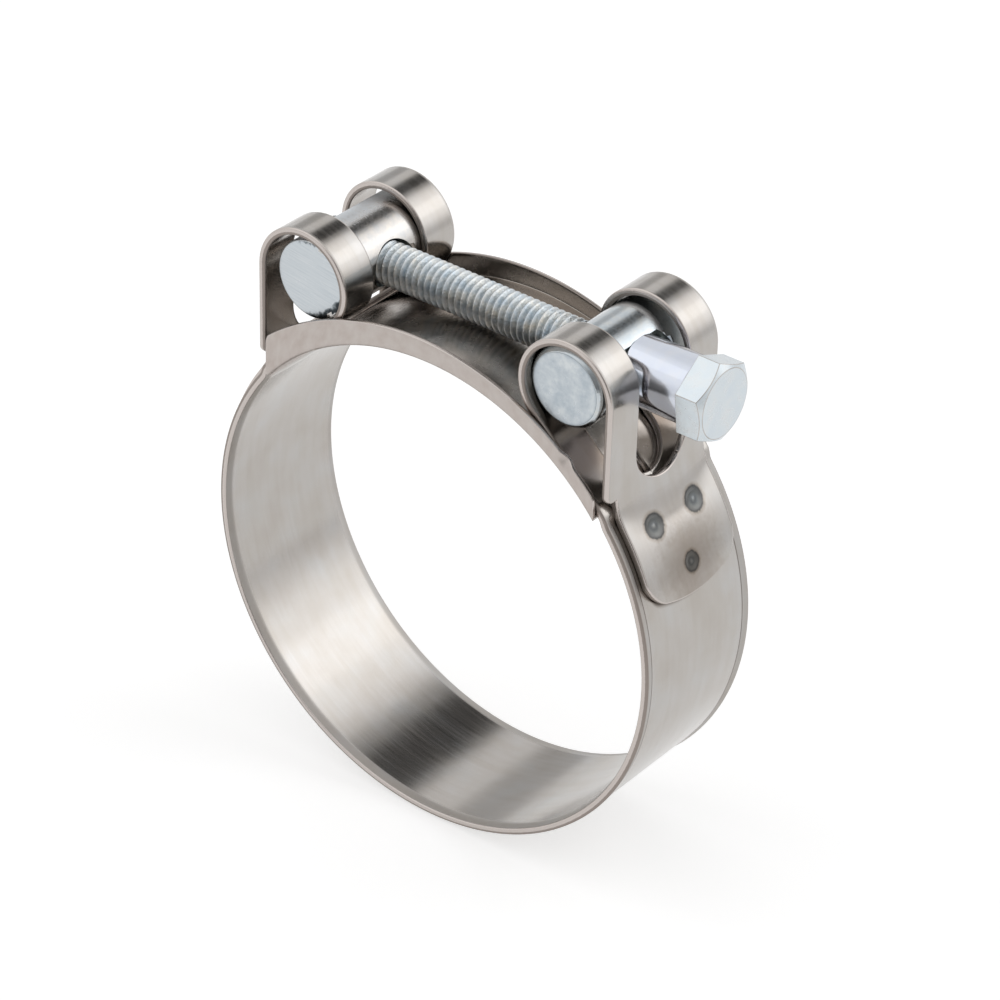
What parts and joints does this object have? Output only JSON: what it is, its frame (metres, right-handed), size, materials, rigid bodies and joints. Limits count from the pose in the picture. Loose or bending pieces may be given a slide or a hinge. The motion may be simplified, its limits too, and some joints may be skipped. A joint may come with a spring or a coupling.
{
  "type": "bolt hose clamp",
  "caption": "Heavy-duty hose clamp: a steel band with looped ends round solid barrels, drawn together by a hex bolt with a spacer sleeve over a curved bridge.",
  "frame": {"origin": "centre of the clamp's bore, half way along its width", "axes": "+X along the bolt towards its head, +Y along the bore, +Z from the bore's centre up to the bolt"},
  "size_m": [0.0731, 0.0234, 0.0812],
  "materials": {
    "stainless_band": "satin",
    "stainless_bridge": "satin",
    "zinc_barrel": "satin",
    "zinc_spacer": "gloss",
    "zinc_bolt": "satin"
  },
  "bodies": {
    "clamp": {"band": "stainless_band", "bridge": "stainless_bridge", "barrel_tapped": "zinc_barrel", "barrel_plain": "zinc_barrel"},
    "sleeve": {"spacer": "zinc_spacer"},
    "screw": {"bolt": "zinc_bolt"}
  },
  "joints": [
    {"name": "sleeve_slide", "type": "slide", "parent": "clamp", "child": "sleeve", "axis": [1, 0, 0], "range_m": [0, 0.011]},
    {"name": "bolt_turn", "type": "hinge", "parent": "sleeve", "child": "screw", "pos_m": [0, 0, 0.0382], "axis": [1, 0, 0], "range_deg": [0, 3960.5]}
  ],
  "couplings": [
    {"joint": "bolt_turn", "follows": "sleeve_slide", "rad_per_m": 6283.2}
  ]
}
